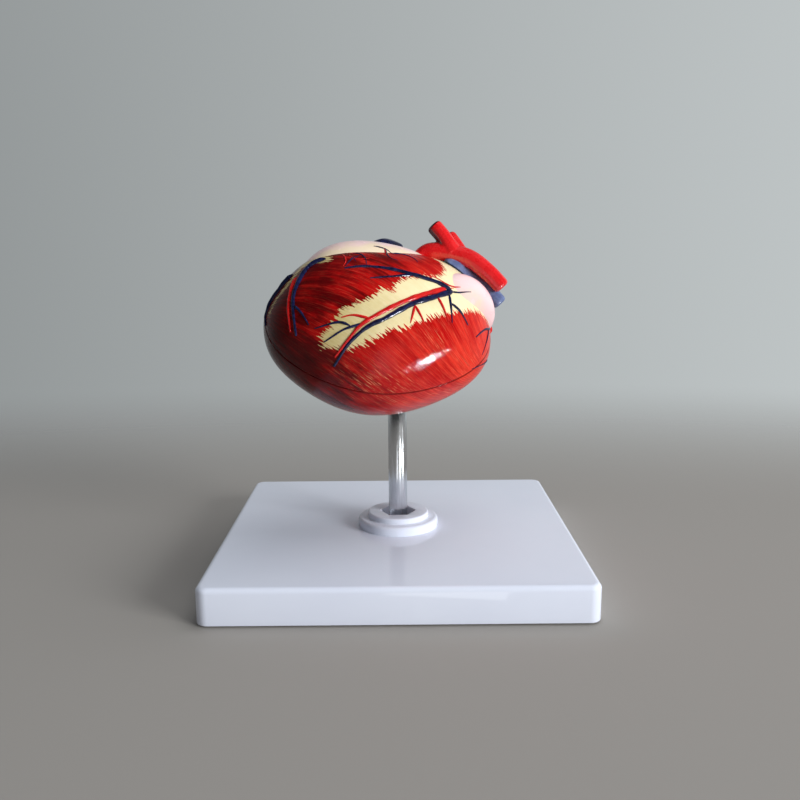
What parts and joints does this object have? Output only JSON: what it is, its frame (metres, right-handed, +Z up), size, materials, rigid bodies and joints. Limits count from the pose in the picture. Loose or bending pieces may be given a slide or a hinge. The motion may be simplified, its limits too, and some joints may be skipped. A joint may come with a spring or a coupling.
{
  "type": "animal heart model",
  "caption": "Painted animal heart model that parts into two halves and sits on a chrome post in a white base plate with rubber feet.",
  "frame": {"origin": "centre of the stand's underside, in the plane that the rubber feet stand on", "axes": "+Z up along the post, +X to the right along the heart from its apex to its base, +Y away from the viewer"},
  "size_m": [0.15, 0.145, 0.1476],
  "materials": {
    "plate": "moulded, glossy white",
    "rubber": "matt black",
    "chrome": "bright plated",
    "zinc": "zinc plated",
    "nylon": "natural, matt",
    "muscle": "hand painted in reds and creams under a gloss lacquer",
    "auricle": "painted pale pink, gloss lacquer",
    "artery": "painted red, gloss lacquer",
    "vein": "painted dark blue, gloss lacquer",
    "pulmonary": "painted grey blue, gloss lacquer",
    "valve": "painted cream, gloss lacquer"
  },
  "bodies": {
    "stand": {"base_plate": "plate", "post_collar": "plate", "post": "chrome", "upper_nut": "zinc", "lower_nut": "zinc", "clamp_washer": "zinc", "rubber_foot_1": "rubber", "rubber_foot_2": "rubber", "rubber_foot_3": "rubber", "rubber_foot_4": "rubber"},
    "socket": {"post_socket": "nylon"},
    "back_section": {"back_half": "muscle", "locating_peg_1": "zinc", "locating_peg_2": "zinc", "locating_peg_3": "zinc", "mitral_valve_back": "valve", "tricuspid_valve_back": "valve", "caudal_vena_cava": "vein", "pulmonary_vein_1": "artery", "pulmonary_vein_2": "artery", "pulmonary_vein_3": "artery", "middle_cardiac_vein": "vein", "subsinuosal_artery": "artery", "coronary_sinus": "vein"},
    "front_section": {"front_half": "muscle", "mitral_valve_front": "valve", "tricuspid_valve_front": "valve", "left_auricle": "auricle", "right_auricle": "auricle", "aorta": "artery", "pulmonary_artery": "pulmonary", "cranial_vena_cava": "vein", "great_cardiac_vein": "vein", "paraconal_artery": "artery", "apical_vein_branch": "vein", "septal_artery_branches": "artery", "diagonal_artery_branch": "artery", "conus_vein": "vein", "conus_artery": "artery", "marginal_vein": "vein", "marginal_artery": "artery", "apex_vein": "vein", "obtuse_vein_branches": "vein"}
  },
  "joints": [
    {"name": "heart_lift", "type": "slide", "parent": "stand", "child": "socket", "axis": [0, 0, 1], "range_m": [0, 0.03]},
    {"name": "heart_swivel", "type": "hinge", "parent": "socket", "child": "back_section", "pos_m": [0, 0, 0.0755], "axis": [0, 0, 1], "continuous": true},
    {"name": "front_half_lift", "type": "slide", "parent": "back_section", "child": "front_section", "axis": [0.165, -0.7295, 0.6638], "range_m": [0, 0.06]}
  ]
}
